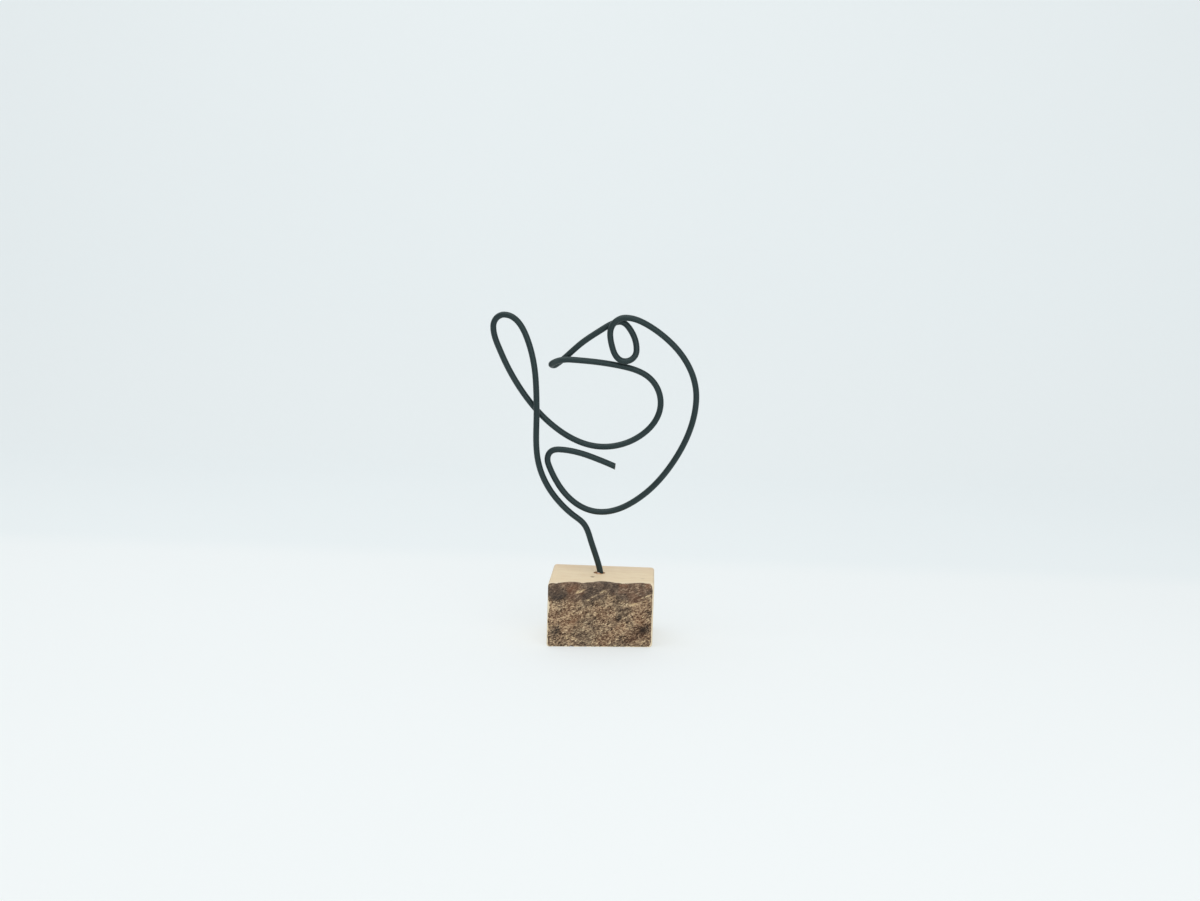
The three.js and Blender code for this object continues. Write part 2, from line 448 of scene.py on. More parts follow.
def wood_colour(tree, place, mottle, fibres, specks):
    """Pale sanded wood: straight lines on top and growth arcs on the ends. Gives colour and height."""
    end_grain = point_value(tree, "end_grain")
    # The pith runs along X, behind the block and at half its height.
    centred = add(tree, "ShaderNodeMapping", {
        "Vector": place, "Location": (0, -0.036, -0.014), "Scale": (0.12, 1, 1)})
    rings = add(tree, "ShaderNodeTexWave", {
        "Vector": centred.outputs[0], "Scale": 150.0, "Distortion": 2.6, "Detail": 2.0, "Detail Scale": 0.5,
        "Detail Roughness": 0.6}, wave_type="RINGS", rings_direction="X", wave_profile="SAW")
    grain = use_group(tree, fibres, {
        "Vector": place, "Lean": 0.0, "Length": 0.013, "Width": 0.00034, "Waviness": 0.2})
    drawn_out = add(tree, "ShaderNodeMapping", {"Vector": place, "Scale": (0.35, 1, 1)}).outputs[0]
    patches = mottled(tree, mottle, drawn_out, 260.0, 4.0, 3.0)
    pores = speckled(tree, specks, place, 0.0007, 0.24)
    ring_tone = ramp(tree, rings.outputs["Fac"], [
        (0.0, (0.835, 0.685, 0.468)), (0.60, (0.812, 0.656, 0.440)), (0.92, (0.730, 0.560, 0.355)),
        (1.0, (0.820, 0.668, 0.450))])
    grained = blend_colour(tree, times(tree, grain.outputs["Streak"], 0.36), ring_tone,
                           (0.880, 0.765, 0.560, 1))
    fine = ramp(tree, grain.outputs["Fine"], [(0.28, grey(0.84)), (0.55, grey(1.0))])
    lined = blend_colour(tree, 0.5, grained, fine, "MULTIPLY")
    depth = add(tree, "ShaderNodeSeparateXYZ", {"Vector": place}).outputs["Y"]
    towards_back = map_range(tree, depth, 0.004, 0.018, 0.0, 0.45)
    pinkish = blend_colour(tree, towards_back, lined, (0.790, 0.590, 0.415, 1))
    warm_share = ramp(tree, patches, [(0.30, grey(0.0)), (0.95, grey(0.42))])
    warm = blend_colour(tree, warm_share, pinkish, (0.700, 0.515, 0.315, 1))
    duller = blend_colour(tree, times(tree, end_grain, 0.30), warm, (0.560, 0.425, 0.270, 1))
    open_pores = times(tree, plus(tree, times(tree, end_grain, 0.40), 0.06), pores)
    pitted = blend_colour(tree, open_pores, duller, (0.330, 0.215, 0.125, 1))
    height = plus(tree, times(tree, grain.outputs["Fine"], 0.5), times(tree, rings.outputs["Fac"], 0.25))
    return pitted, minus(tree, height, open_pores)


def bark_colour(tree, place, mottle, fibres, specks):
    """Weathered bark: a dark smooth skin above, and paler torn fibres below, painted darker where their
    relief lies low as painted shade in the furrows. Gives colour and height.
    """
    relief = point_value(tree, "relief")
    skin = point_value(tree, "skin")
    tone = point_value(tree, "tone")
    rust = point_value(tree, "rust")
    threads = use_group(tree, fibres, {
        "Vector": place, "Lean": FIBRE_LEAN, "Length": 0.00135, "Width": 0.00050, "Waviness": 0.8})
    hairs = use_group(tree, fibres, {
        "Vector": place, "Lean": FIBRE_LEAN, "Length": 0.00170, "Width": 0.00022, "Waviness": 0.5})
    patches = mottled(tree, mottle, place, 330.0, 4.0, 3.0)
    broad = mottled(tree, mottle, place, 95.0, 4.0, 3.4)
    pits = speckled(tree, specks, place, 0.0010, 0.30)
    weave = plus(tree, times(tree, threads.outputs["Streak"], 0.62),
                 times(tree, hairs.outputs["Streak"], 0.38))
    # Painted shade: the lower the relief, the darker the torn fibres, as shade in the bark's furrows.
    share = plus(tree, times(tree, relief, 0.50), times(tree, minus(tree, weave, 0.5), 2.6))
    fibre_tone_and_furrow_shade = plus(tree, plus(tree, share, 0.24), times(tree, tone, 0.30), clamp=True)
    torn = ramp(tree, fibre_tone_and_furrow_shade, [
        (0.12, (0.038, 0.024, 0.016)), (0.30, (0.130, 0.083, 0.052)), (0.48, (0.315, 0.215, 0.135)),
        (0.68, (0.580, 0.420, 0.260)), (0.88, (0.860, 0.700, 0.450))])
    grain = plus(tree, times(tree, patches, 0.40), times(tree, minus(tree, weave, 0.37), 2.7))
    smooth = ramp(tree, plus(tree, grain, times(tree, tone, 0.12)), [
        (0.15, (0.045, 0.029, 0.021)), (0.48, (0.120, 0.080, 0.056)), (0.68, (0.210, 0.145, 0.100)),
        (0.95, (0.460, 0.340, 0.225))])
    covered = blend_colour(tree, skin, torn, smooth)
    rust_share = times(tree, ramp(tree, broad, [(0.42, grey(0.0)), (0.78, grey(0.85))]),
                       plus(tree, times(tree, rust, 0.95), 0.26))
    flecks = ramp(tree, hairs.outputs["Fine"], [(0.38, grey(0.25)), (0.62, grey(1.0))])
    rusty = blend_colour(tree, times(tree, rust_share, flecks), covered, (0.290, 0.105, 0.042, 1))
    dark_share = times(tree, ramp(tree, broad, [(0.12, grey(0.75)), (0.45, grey(0.0))]),
                       minus(tree, 0.75, tone))
    smoked = blend_colour(tree, times(tree, dark_share, 0.7), rusty, (0.040, 0.033, 0.029, 1))
    holed = blend_colour(tree, times(tree, pits, 0.5), smoked, (0.020, 0.014, 0.011, 1))
    height = plus(tree, threads.outputs["Streak"], times(tree, hairs.outputs["Streak"], 0.7))
    return holed, minus(tree, height, times(tree, pits, 0.3))


def block_wood(mottle, fibres, specks):
    """Wood and bark in one piece, parted by the bark attribute."""
    material, tree, shader, place = new_material("block_wood")
    bark = point_value(tree, "bark")
    worn = point_value(tree, "rim")
    dent = point_value(tree, "dent")
    wood, wood_height = wood_colour(tree, place, mottle, fibres, specks)
    rough_bark, bark_height = bark_colour(tree, place, mottle, fibres, specks)
    rimmed = blend_colour(tree, times(tree, worn, 0.6), wood, (0.860, 0.760, 0.580, 1))
    # Painted shade: the wood is painted darker brown down the hole's wall and in a thin ring round its rim.
    axis = add(tree, "ShaderNodeMapping", {
        "Vector": place, "Location": (-HOLE_X * MM, -HOLE_Y * MM, 0), "Scale": (1, 1, 0)}).outputs[0]
    from_axis = add(tree, "ShaderNodeVectorMath", {0: axis}, operation="LENGTH").outputs["Value"]
    hole_shade = map_range(tree, from_axis, HOLE_DIAMETER * 0.5 * MM, HOLE_DIAMETER * 0.56 * MM, 0.75, 0.0)
    hole_shaded = blend_colour(tree, hole_shade, rimmed, (0.420, 0.215, 0.095, 1))
    # Painted shade: each dent is painted darker the deeper it is.
    dent_shaded = blend_colour(tree, times(tree, dent, 0.9, clamp=True), hole_shaded, (0.075, 0.045, 0.028, 1))
    fray = add(tree, "ShaderNodeTexNoise", {"Vector": place, "Scale": 1700.0, "Detail": 3.0}).outputs["Fac"]
    edge = plus(tree, bark, times(tree, minus(tree, fray, 0.5), 0.9))
    share = ramp(tree, edge, [(0.42, grey(0.0)), (0.58, grey(1.0))])
    tree.links.new(blend_colour(tree, share, dent_shaded, rough_bark), shader.inputs["Base Color"])
    rough = map_range(tree, share, 0.0, 1.0, 0.62, 0.88)
    tree.links.new(minus(tree, rough, times(tree, wood_height, 0.12)), shader.inputs["Roughness"])
    shader.inputs["Specular IOR Level"].default_value = 0.3
    wood_lift = times(tree, wood_height, 0.07)
    lift = add(tree, "ShaderNodeMix", {0: share, 2: wood_lift, 3: bark_height}, data_type="FLOAT").outputs[0]
    raise_surface(tree, shader, lift, 0.7, 0.0003)
    return material


def torn_fibre(mottle, specks):
    """Pale slivers of fresh fibre, some gone brown."""
    material, tree, shader, place = new_material("torn_fibre")
    patches = mottled(tree, mottle, place, 300.0, 2.0, 4.0)
    dots = speckled(tree, specks, place, 0.0006, 0.25)
    tone = ramp(tree, patches, [
        (0.05, (0.085, 0.052, 0.034)), (0.40, (0.240, 0.165, 0.100)), (0.70, (0.520, 0.385, 0.230)),
        (1.0, (0.820, 0.640, 0.380))])
    dirty = blend_colour(tree, times(tree, dots, 0.5), tone, (0.080, 0.050, 0.032, 1))
    tree.links.new(dirty, shader.inputs["Base Color"])
    tree.links.new(plus(tree, times(tree, patches, 0.15), 0.7), shader.inputs["Roughness"])
    raise_surface(tree, shader, patches, 0.4, 0.0002)
    return material


def glue_skin(mottle):
    """Clear glue, amber where it fills the hole, and painted pale greyish where it climbs the wire as a
    painted highlight.
    """
    material, tree, shader, place = new_material("glue_skin")
    patches = mottled(tree, mottle, place, 700.0, 2.0, 2.0)
    tone = ramp(tree, patches, [(0.2, (0.30, 0.13, 0.050)), (0.8, (0.55, 0.30, 0.13))])
    height = add(tree, "ShaderNodeSeparateXYZ", {"Vector": place}).outputs["Z"]
    # Painted highlight: the glue is painted pale greyish above the block's top, where it climbs the wire.
    climb = map_range(tree, height, BLOCK_HEIGHT * MM, (BLOCK_HEIGHT + 0.5) * MM)
    tree.links.new(blend_colour(tree, climb, tone, (0.36, 0.33, 0.37, 1)), shader.inputs["Base Color"])
    tree.links.new(plus(tree, times(tree, patches, 0.12), 0.12), shader.inputs["Roughness"])
    raise_surface(tree, shader, patches, 0.25, 0.0002)
    return material


def studio_paper(mottle):
    """The pale sweep that the sculpture stands on. Its front part is lit from below as well, so shadows on it
    stay faint."""
    material, tree, shader, place = new_material("studio_paper")
    patches = mottled(tree, mottle, place, 3.0, 2.0, 0.8)
    tone = ramp(tree, patches, [(0.0, (0.425, 0.440, 0.444)), (1.0, (0.445, 0.460, 0.464))])
    tree.links.new(tone, shader.inputs["Base Color"])
    back = add(tree, "ShaderNodeSeparateXYZ", {"Vector": place}).outputs["Y"]
    beyond = map_range(tree, back, 0.145, 0.205, interpolation_type="SMOOTHSTEP")
    glow = ramp(tree, beyond, [(0.0, (0.435, 0.458, 0.464)), (1.0, (0.402, 0.437, 0.449))])
    tree.links.new(glow, shader.inputs["Emission Color"])
    shader.inputs["Emission Strength"].default_value = 1.0
    shader.inputs["Roughness"].default_value = 0.85
    shader.inputs["Specular IOR Level"].default_value = 0.1
    return material


# ---------------- the wire

def depth_slope(before, here, after):
    """The depth changes evenly from knot to knot, and stands still where it turns or rests."""
    def rise(start, end):
        return (end[2] - start[2]) / math.hypot(end[0] - start[0], end[1] - start[1])
    arriving = rise(before, here)
    leaving = rise(here, after)
    return 2 * arriving * leaving / (arriving + leaving) if arriving * leaving > 0 else 0


def direction_at(index):
    heading = math.radians(ROUTE[index][3])
    if len(ROUTE[index]) > 4:
        lean = math.radians(ROUTE[index][4])
    elif index in (0, len(ROUTE) - 1):
        lean = 0
    else:
        lean = math.atan(depth_slope(*ROUTE[index - 1:index + 2]))
    return Vector((math.cos(lean) * math.cos(heading), math.sin(lean), math.cos(lean) * math.sin(heading)))


def wire_route():
    """The route as one Bezier spline. Its handles are those of circular arcs of the same turn."""
    curve = bpy.data.curves.new("wire_route", "CURVE")
    curve.dimensions = "3D"
    spline = curve.splines.new("BEZIER")
    spline.resolution_u = 64
    spline.bezier_points.add(len(ROUTE) - 1)
    knots = [Vector((knot[0], knot[2], knot[1])) for knot in ROUTE]
    ways = [direction_at(i) for i in range(len(ROUTE))]
    reach = []
    for i in range(len(ROUTE) - 1):
        turn = ways[i].angle(ways[i + 1])
        reach.append((knots[i + 1] - knots[i]).length * 2 / (3 * (1 + math.cos(turn / 2))))
    for i, point in enumerate(spline.bezier_points):
        arriving = reach[max(i - 1, 0)]
        leaving = reach[min(i, len(reach) - 1)]
        point.handle_left_type = "FREE"
        point.handle_right_type = "FREE"
        point.co = knots[i] * MM
        point.handle_left = (knots[i] - ways[i] * arriving) * MM
        point.handle_right = (knots[i] + ways[i] * leaving) * MM
    return linked("wire_route", curve)


def swept_wire_tree(material):
    """Geometry Nodes that sweep a round section along a route and keep where each point lies on it."""
    tree, sockets, given, result = new_geometry_tree(
        "Swept wire",
        (("Route", "NodeSocketObject"), ("Diameter", "NodeSocketFloat"), ("Facet length", "NodeSocketFloat"),
         ("Sides", "NodeSocketInt")),
        "Wire",
    )
    route = add(tree, "GeometryNodeObjectInfo", {"Object": given["Route"]},
                transform_space="ORIGINAL")
    even = add(tree, "GeometryNodeResampleCurve", {
        "Curve": route.outputs["Geometry"], "Length": given["Facet length"]}, mode="LENGTH")
    place = add(tree, "GeometryNodeSplineParameter")
    marked = add(tree, "GeometryNodeStoreNamedAttribute", {
        "Geometry": even.outputs["Curve"], "Name": "along", "Value": place.outputs["Length"]},
        data_type="FLOAT", domain="POINT")
    radius = times(tree, given["Diameter"], 0.5)
    ring = add(tree, "GeometryNodeCurvePrimitiveCircle", {
        "Resolution": given["Sides"], "Radius": radius}, mode="RADIUS")
    spot = add(tree, "GeometryNodeInputPosition")
    unit = add(tree, "ShaderNodeVectorMath", {0: spot.outputs[0]}, operation="NORMALIZE")
    section = add(tree, "GeometryNodeStoreNamedAttribute", {
        "Geometry": ring.outputs["Curve"], "Name": "section", "Value": unit.outputs[0]},
        data_type="FLOAT_VECTOR", domain="POINT")
    swept = add(tree, "GeometryNodeCurveToMesh", {
        "Curve": marked.outputs[0], "Profile Curve": section.outputs[0], "Fill Caps": True})
    smooth = add(tree, "GeometryNodeSetShadeSmooth", {"Geometry": swept.outputs[0], "Shade Smooth": True})
    plain = add(tree, "GeometryNodeRealizeInstances", {"Geometry": smooth.outputs[0]})
    painted = add(tree, "GeometryNodeSetMaterial", {"Geometry": plain.outputs[0], "Material": material})
    tree.links.new(painted.outputs[0], result["Wire"])
    return tree, sockets


def press_plier_marks(mesh):
    """Slanting tooth marks of the pliers that closed the beak, and a mask of where they rubbed."""
    pinch = mesh.attributes.new("pinch", "FLOAT", "POINT")
    normals = [vertex.normal.copy() for vertex in mesh.vertices]
    for vertex, normal in zip(mesh.vertices, normals):
        place = vertex.co / MM
        away = (place - BEAK_TIP).length / PLIER_REACH
        if away >= 1:
            continue
        hold = (1 - away * away) * min(1, abs(normal.y) * 1.4)
        first = math.cos(2 * math.pi * (place.x * 0.35 + place.z) / PLIER_PITCH)
        second = math.cos(2 * math.pi * (place.x - place.z * 0.25) / PLIER_PITCH)
        groove = max(0, first) ** 2 + 0.7 * max(0, second) ** 2
        vertex.co = vertex.co - normal * (PLIER_DEPTH * hold * groove * MM)
        ridge = max(0, 1 - groove) * hold
        pinch.data[vertex.index].value = ridge * (0.35 + 0.65 * max(0, noise.noise(place * 1.7) + 0.3))


def turn_cut_end_upright(mesh):
    """The cutters left the free end upright rather than square to the wire, and its metal bare."""
    bare = mesh.attributes.new("cut", "FLOAT", "POINT")
    end = Vector((ROUTE[-1][0], ROUTE[-1][2], ROUTE[-1][1]))
    way = direction_at(len(ROUTE) - 1)
    for vertex in mesh.vertices:
        offset = vertex.co / MM - end
        behind = -offset.dot(way)
        across = offset + way * behind
        if abs(behind) > CUT_LEAN or across.length > WIRE_DIAMETER:
            continue
        share = 1 - max(0, behind) / CUT_LEAN
        vertex.co = vertex.co - way * (across.x / way.x * share * 0.8 * MM)
        bare.data[vertex.index].value = 1.0 if share > 0.9 else 0.0


def make_wire(material):
    tree, sockets = swept_wire_tree(material)
    route = wire_route()
    wire = grown("bird_wire", tree, sockets, {
        "Route": route, "Diameter": WIRE_DIAMETER * MM, "Facet length": WIRE_FACET * MM,
        "Sides": WIRE_SIDES}, material)
    bpy.data.objects.remove(route)
    press_plier_marks(wire.data)
    turn_cut_end_upright(wire.data)
    return wire


# ---------------- the block

def bark_line(x):
    """Where the flat of the bark face lies at one place across the block."""
    share = (x + BLOCK_WIDTH / 2) / BLOCK_WIDTH
    return BARK_LEFT_Y + (BARK_RIGHT_Y - BARK_LEFT_Y) * share


def bark_swell(x, z):
    """Slow waves of the bark, as in the solid."""
    across = math.cos(math.pi * x / BLOCK_WIDTH)
    up = math.sin(math.pi * z / BLOCK_HEIGHT)
    waves = math.sin(LONG_WAVE[0] * x + LONG_WAVE[1] * z)
    waves += SHORT_SHARE * math.sin(SHORT_WAVE[0] * x + SHORT_WAVE[1] * z + SHORT_START)
    return BARK_SWELL * math.sqrt(max(0, across * up)) * (waves / (1 + SHORT_SHARE))


def bark_depth_on_top(x):
    """How far back the bark reaches on the top."""
    depth = BARK_THIN + 0.35 * noise.noise(Vector((x * 0.55, 3.1, 0)))
    for middle, half, reach in BARK_LIPS:
        depth += reach * math.exp(-((x - middle) / half) ** 2)
    return depth


def ease(value):
    value = min(1, max(0, value))
    return value * value * (3 - 2 * value)


def fibre_frame(x, z):
    """A place on the bark face as distances along and across its fibres."""
    return (x * math.cos(FIBRE_LEAN) + z * math.sin(FIBRE_LEAN),
            z * math.cos(FIBRE_LEAN) - x * math.sin(FIBRE_LEAN))


def skin_share(x, z):
    """1 where the smooth outer skin of the bark is left and 0 where it has come away."""
    along, across = fibre_frame(x, z)
    edge = 23.0 + 2.9 * math.exp(-((x - 4) / 5) ** 2) - 1.3 * math.exp(-((x - 13) / 4) ** 2)
    edge += 1.5 * ease((x - 15) / 9)
    edge += 1.8 * noise.noise(Vector((along / 4.5, across / 1.8, 7.7)))
    edge += 1.1 * noise.noise(Vector((along / 1.3, across / 0.7, 1.2)))
    whole = ease((z - edge) / 2.2 + 0.5)
    return whole * (1 - ease(1.2 * spots(TONE_SPOTS, x, z) - 0.4))


def torn_height(x, z):
    """Height of the torn fibres, from about 0 to 1: long furrows, ridges, short cross ones and pits."""
    along, across = fibre_frame(x, z)
    warp = 0.5 * noise.noise(Vector((along / 3.0, across / 3.0, 5.0)))
    furrow = noise.noise(Vector((along / 7.5, across / 1.7 + warp, 14.0)))
    ridge = 1 - abs(noise.noise(Vector((along / 1.9, across / 0.75 + warp, 0.0)))) * 2.6
    fine = 1 - abs(noise.noise(Vector((along / 0.95 + warp, across / 0.45, 9.0)))) * 2.6
    cross = noise.noise(Vector((along / 0.8, across / 1.0, 21.0)))
    return 0.42 * max(-0.2, ridge) + 0.28 * max(-0.2, fine) + 0.34 * cross + 0.38 * furrow + 0.12


def skin_height(x, z):
    """Height of the smooth skin, from about 0 to 1: low waves, wrinkles along the fibres, grit and cracks."""
    along, across = fibre_frame(x, z)
    wave = 0.5 + 0.6 * noise.noise(Vector((along / 5.0, across / 2.4, 2.0)))
    wrinkle = 0.7 * noise.noise(Vector((along / 1.5, across / 0.6, 17.0)))
    grit = 0.5 * noise.noise(Vector((along / 0.7, across / 0.5, 27.0)))
    crack = abs(noise.noise(Vector((along / 3.4, across / 1.2, 11.0))))
    return wave + wrinkle + grit - 0.8 * max(0, 1 - crack / 0.06)


def edge_distance(x, z, rim, foot, corner):
    """How far a place lies inside the bark's round-cornered outline. Rim is the bare width at the sides, and
    foot that at the bottom."""
    dx = abs(x) - (BLOCK_WIDTH / 2 - rim - corner)
    dz = abs(z - (BLOCK_HEIGHT + foot) / 2) - ((BLOCK_HEIGHT - foot) / 2 - corner)
    return corner - math.hypot(max(dx, 0), max(dz, 0)) - min(max(dx, dz), 0)


def spots(places, x, z):
    """The strength of soft oval spots at one place. Each spot has its middle, two half sizes along and across
    the fibres, and its strength."""
    along, across = fibre_frame(x, z)
    total = 0
    for spot_x, spot_z, half_along, half_across, strength in places:
        middle_along, middle_across = fibre_frame(spot_x, spot_z)
        away = ((along - middle_along) / half_along) ** 2 + ((across - middle_across) / half_across) ** 2
        total += strength * math.exp(-away)
    return total


def bark_share(x, y, z):
    """1 on bark and 0 on bare wood. The face's edges are sanded through to the wood, but for the top one."""
    rag = noise.noise(Vector((x * 0.5, z * 0.5, 4.0))) + 0.5 * noise.noise(Vector((x * 1.9, z * 1.9, 8.0)))
    into_face = y - bark_line(x)
    if z > BLOCK_HEIGHT - TOP_BAND:
        side = BLOCK_WIDTH / 2 - abs(x) - (LIP_RIGHT if x > 0 else LIP_LEFT)
        return ease((bark_depth_on_top(x) + 0.3 * rag - into_face) / 0.5 + 0.5) * ease(side / 0.5 + 0.5)
    foot = 0.3 + 0.45 * noise.noise(Vector((x * 0.33, 2.0, 40.0)))
    foot += 0.35 * noise.noise(Vector((x * 1.5, z, 41.0)))
    if x > 0:
        clear = edge_distance(x, z, RIM_RIGHT, foot, RIGHT_CORNER) - 0.2 * rag
    else:
        rim = 0.1 + RIM_LEFT * ease((24.5 - z) / 2.5) + 0.6 * math.exp(-((z - 20) / 3.0) ** 2)
        clear = edge_distance(x, z, rim, foot, LEFT_CORNER) - 0.6 * rag * ease((25.5 - z) / 3)
    return ease(clear / 0.5 + 0.5) * ease((1.9 + 0.6 * rag - into_face) / 0.5 + 0.5)


def grid_stops(start, end, facet):
    count = max(2, round((end - start) / facet))
    return [start + (end - start) * i / count for i in range(count + 1)]


def box_shell(columns, depths, rows):
    """The outer quads of a box grid: places as (x, y, z) and faces that point out."""
    last = (len(columns) - 1, len(depths) - 1, len(rows) - 1)
    places = []
    number = {}

    def vertex(i, j, k):
        key = (i, j, k)
        if key not in number:
            number[key] = len(places)
            places.append((columns[i], depths[j], rows[k]))
        return number[key]

    faces = []
    for i in range(last[0]):
        for k in range(last[2]):
            faces.append((vertex(i, 0, k), vertex(i + 1, 0, k), vertex(i + 1, 0, k + 1), vertex(i, 0, k + 1)))
            j = last[1]
            faces.append((vertex(i, j, k), vertex(i, j, k + 1), vertex(i + 1, j, k + 1), vertex(i + 1, j, k)))
    for i in range(last[0]):
        for j in range(last[1]):
            faces.append((vertex(i, j, 0), vertex(i, j + 1, 0), vertex(i + 1, j + 1, 0), vertex(i + 1, j, 0)))
            k = last[2]
            faces.append((vertex(i, j, k), vertex(i + 1, j, k), vertex(i + 1, j + 1, k), vertex(i, j + 1, k)))
    for j in range(last[1]):
        for k in range(last[2]):
            faces.append((vertex(0, j, k), vertex(0, j, k + 1), vertex(0, j + 1, k + 1), vertex(0, j + 1, k)))
            i = last[0]
            faces.append((vertex(i, j, k), vertex(i, j + 1, k), vertex(i, j + 1, k + 1), vertex(i, j, k + 1)))
    return places, faces


def rounded(place, low, high):
    """A place on a box moved in, so that the box has round edges."""
    inner = Vector([min(max(p, a + EDGE_RADIUS), b - EDGE_RADIUS) for p, a, b in zip(place, low, high)])
    out = Vector(place) - inner
    return inner + out * (EDGE_RADIUS / out.length)


def dressed_place(place, low, high):
    """One vertex of the block in its final place, with the values that its material reads."""
    x, y, z = rounded(place, low, high)
    share_back = (high[1] - y) / (high[1] - low[1])
    y = BACK_Y - share_back * (BACK_Y - bark_line(x))
    bark = bark_share(x, y, z)
    skin = skin_share(x, z)
    on_face = ease((bark_line(x) + FACE_REACH - y) / (FACE_REACH / 2))
    torn = torn_height(x, z)
    smooth = skin_height(x, z)
    height = torn * (1 - skin) + smooth * skin
    tone = spots(TONE_SPOTS, x, z)
    dent = 0.0
    if on_face > 0:
        drop = (SKIN_STEP + TORN_DEPTH * (1 - torn)) * (1 - skin) + SKIN_DEPTH * (1 - smooth) * skin
        relief = bark * on_face
        if z > BLOCK_HEIGHT - TOP_BAND:
            z -= TOP_DROP * relief * (1 - smooth)
        else:
            y += relief * drop - on_face * min(bark_swell(x, z), SWELL_MOST)
    elif z > BLOCK_HEIGHT - TOP_BAND:
        for dent_x, dent_y, half_x, half_y, depth in DENTS:
            dent += depth * math.exp(-((x - dent_x) / half_x) ** 2 - ((y - dent_y) / half_y) ** 2)
        z -= dent
    rim = on_face * (1 - bark) * ease(1 - edge_distance(x, z, 0, 0, EDGE_RADIUS) / 3)
    end_grain = ease((abs(x) - BLOCK_WIDTH / 2 + 0.9) / 0.7)
    y = min(max(y, FRONT_LIMIT), BACK_Y - 0.002)
    values = (bark, skin, min(1, max(0, height)), rim, tone, spots(RUST_SPOTS, x, z), end_grain,
              min(1, dent * DENT_SHADE))
    return Vector((x, y, z)), values


def add_values(mesh, name, values):
    attribute = mesh.attributes.new(name, "FLOAT", "POINT")
    attribute.data.foreach_set("value", values)


def ring_place(x, y, radius, angle, z):
    """A place in metres on a level circle that is given in millimetres."""
    return ((x + radius * math.cos(angle)) * MM, (y + radius * math.sin(angle)) * MM, z * MM)


def drill():
    """The cutter for the wire's hole."""
    sides = HOLE_SIDES
    top = BLOCK_HEIGHT + 1
    floor = BLOCK_HEIGHT - HOLE_DEPTH
    places = []
    for z in (floor, top):
        for i in range(sides):
            angle = 2 * math.pi * i / sides
            radius = HOLE_DIAMETER / 2
            places.append(ring_place(HOLE_X, HOLE_Y, radius, angle, z))
    faces = [tuple(range(sides))[::-1], tuple(range(sides, 2 * sides))]
    for i in range(sides):
        j = (i + 1) % sides
        faces.append((i, j, sides + j, sides + i))
    return linked("drill", new_mesh("drill", places, faces))


def make_block(material):
    """The sawn block with round sanded edges, its bark face in real relief, and the drilled hole."""
    low = (-BLOCK_WIDTH / 2, FRONT_Y, 0)
    high = (BLOCK_WIDTH / 2, BACK_Y, BLOCK_HEIGHT)
    columns = grid_stops(low[0], high[0], BARK_FACET)
    rows = grid_stops(low[2], high[2], BARK_FACET)
    depths = grid_stops(FRONT_Y, FINE_UNTIL_Y, BARK_FACET * 1.5)[:-1]
    depths += grid_stops(FINE_UNTIL_Y, DENT_BAND[0], PLAIN_FACET)[:-1]
    depths += grid_stops(*DENT_BAND, BARK_FACET * 1.2)[:-1]
    depths += grid_stops(DENT_BAND[1], high[1] - EDGE_RADIUS, PLAIN_FACET)[:-1]
    depths += grid_stops(high[1] - EDGE_RADIUS, high[1], EDGE_RADIUS / 4)
    places, faces = box_shell(columns, depths, rows)
    dressed = [dressed_place(place, low, high) for place in places]
    mesh = new_mesh("block_host", [place * MM for place, _ in dressed], faces)
    for position, name in enumerate(BLOCK_VALUES):
        add_values(mesh, name, [values[position] for _, values in dressed])
    host = linked("block_host", mesh)
    cutter = drill()
    cut = host.modifiers.new("Hole", "BOOLEAN")
    cut.operation = "DIFFERENCE"
    cut.object = cutter
    cut.solver = "EXACT"
    block = made_plain("bark_and_wood", host, material)
    bpy.data.objects.remove(cutter)
    block.data.polygons.foreach_set("use_smooth", [True] * len(block.data.polygons))
    block.data.set_sharp_from_angle(angle=math.radians(50))
    return block


# ---------------- small things on the block

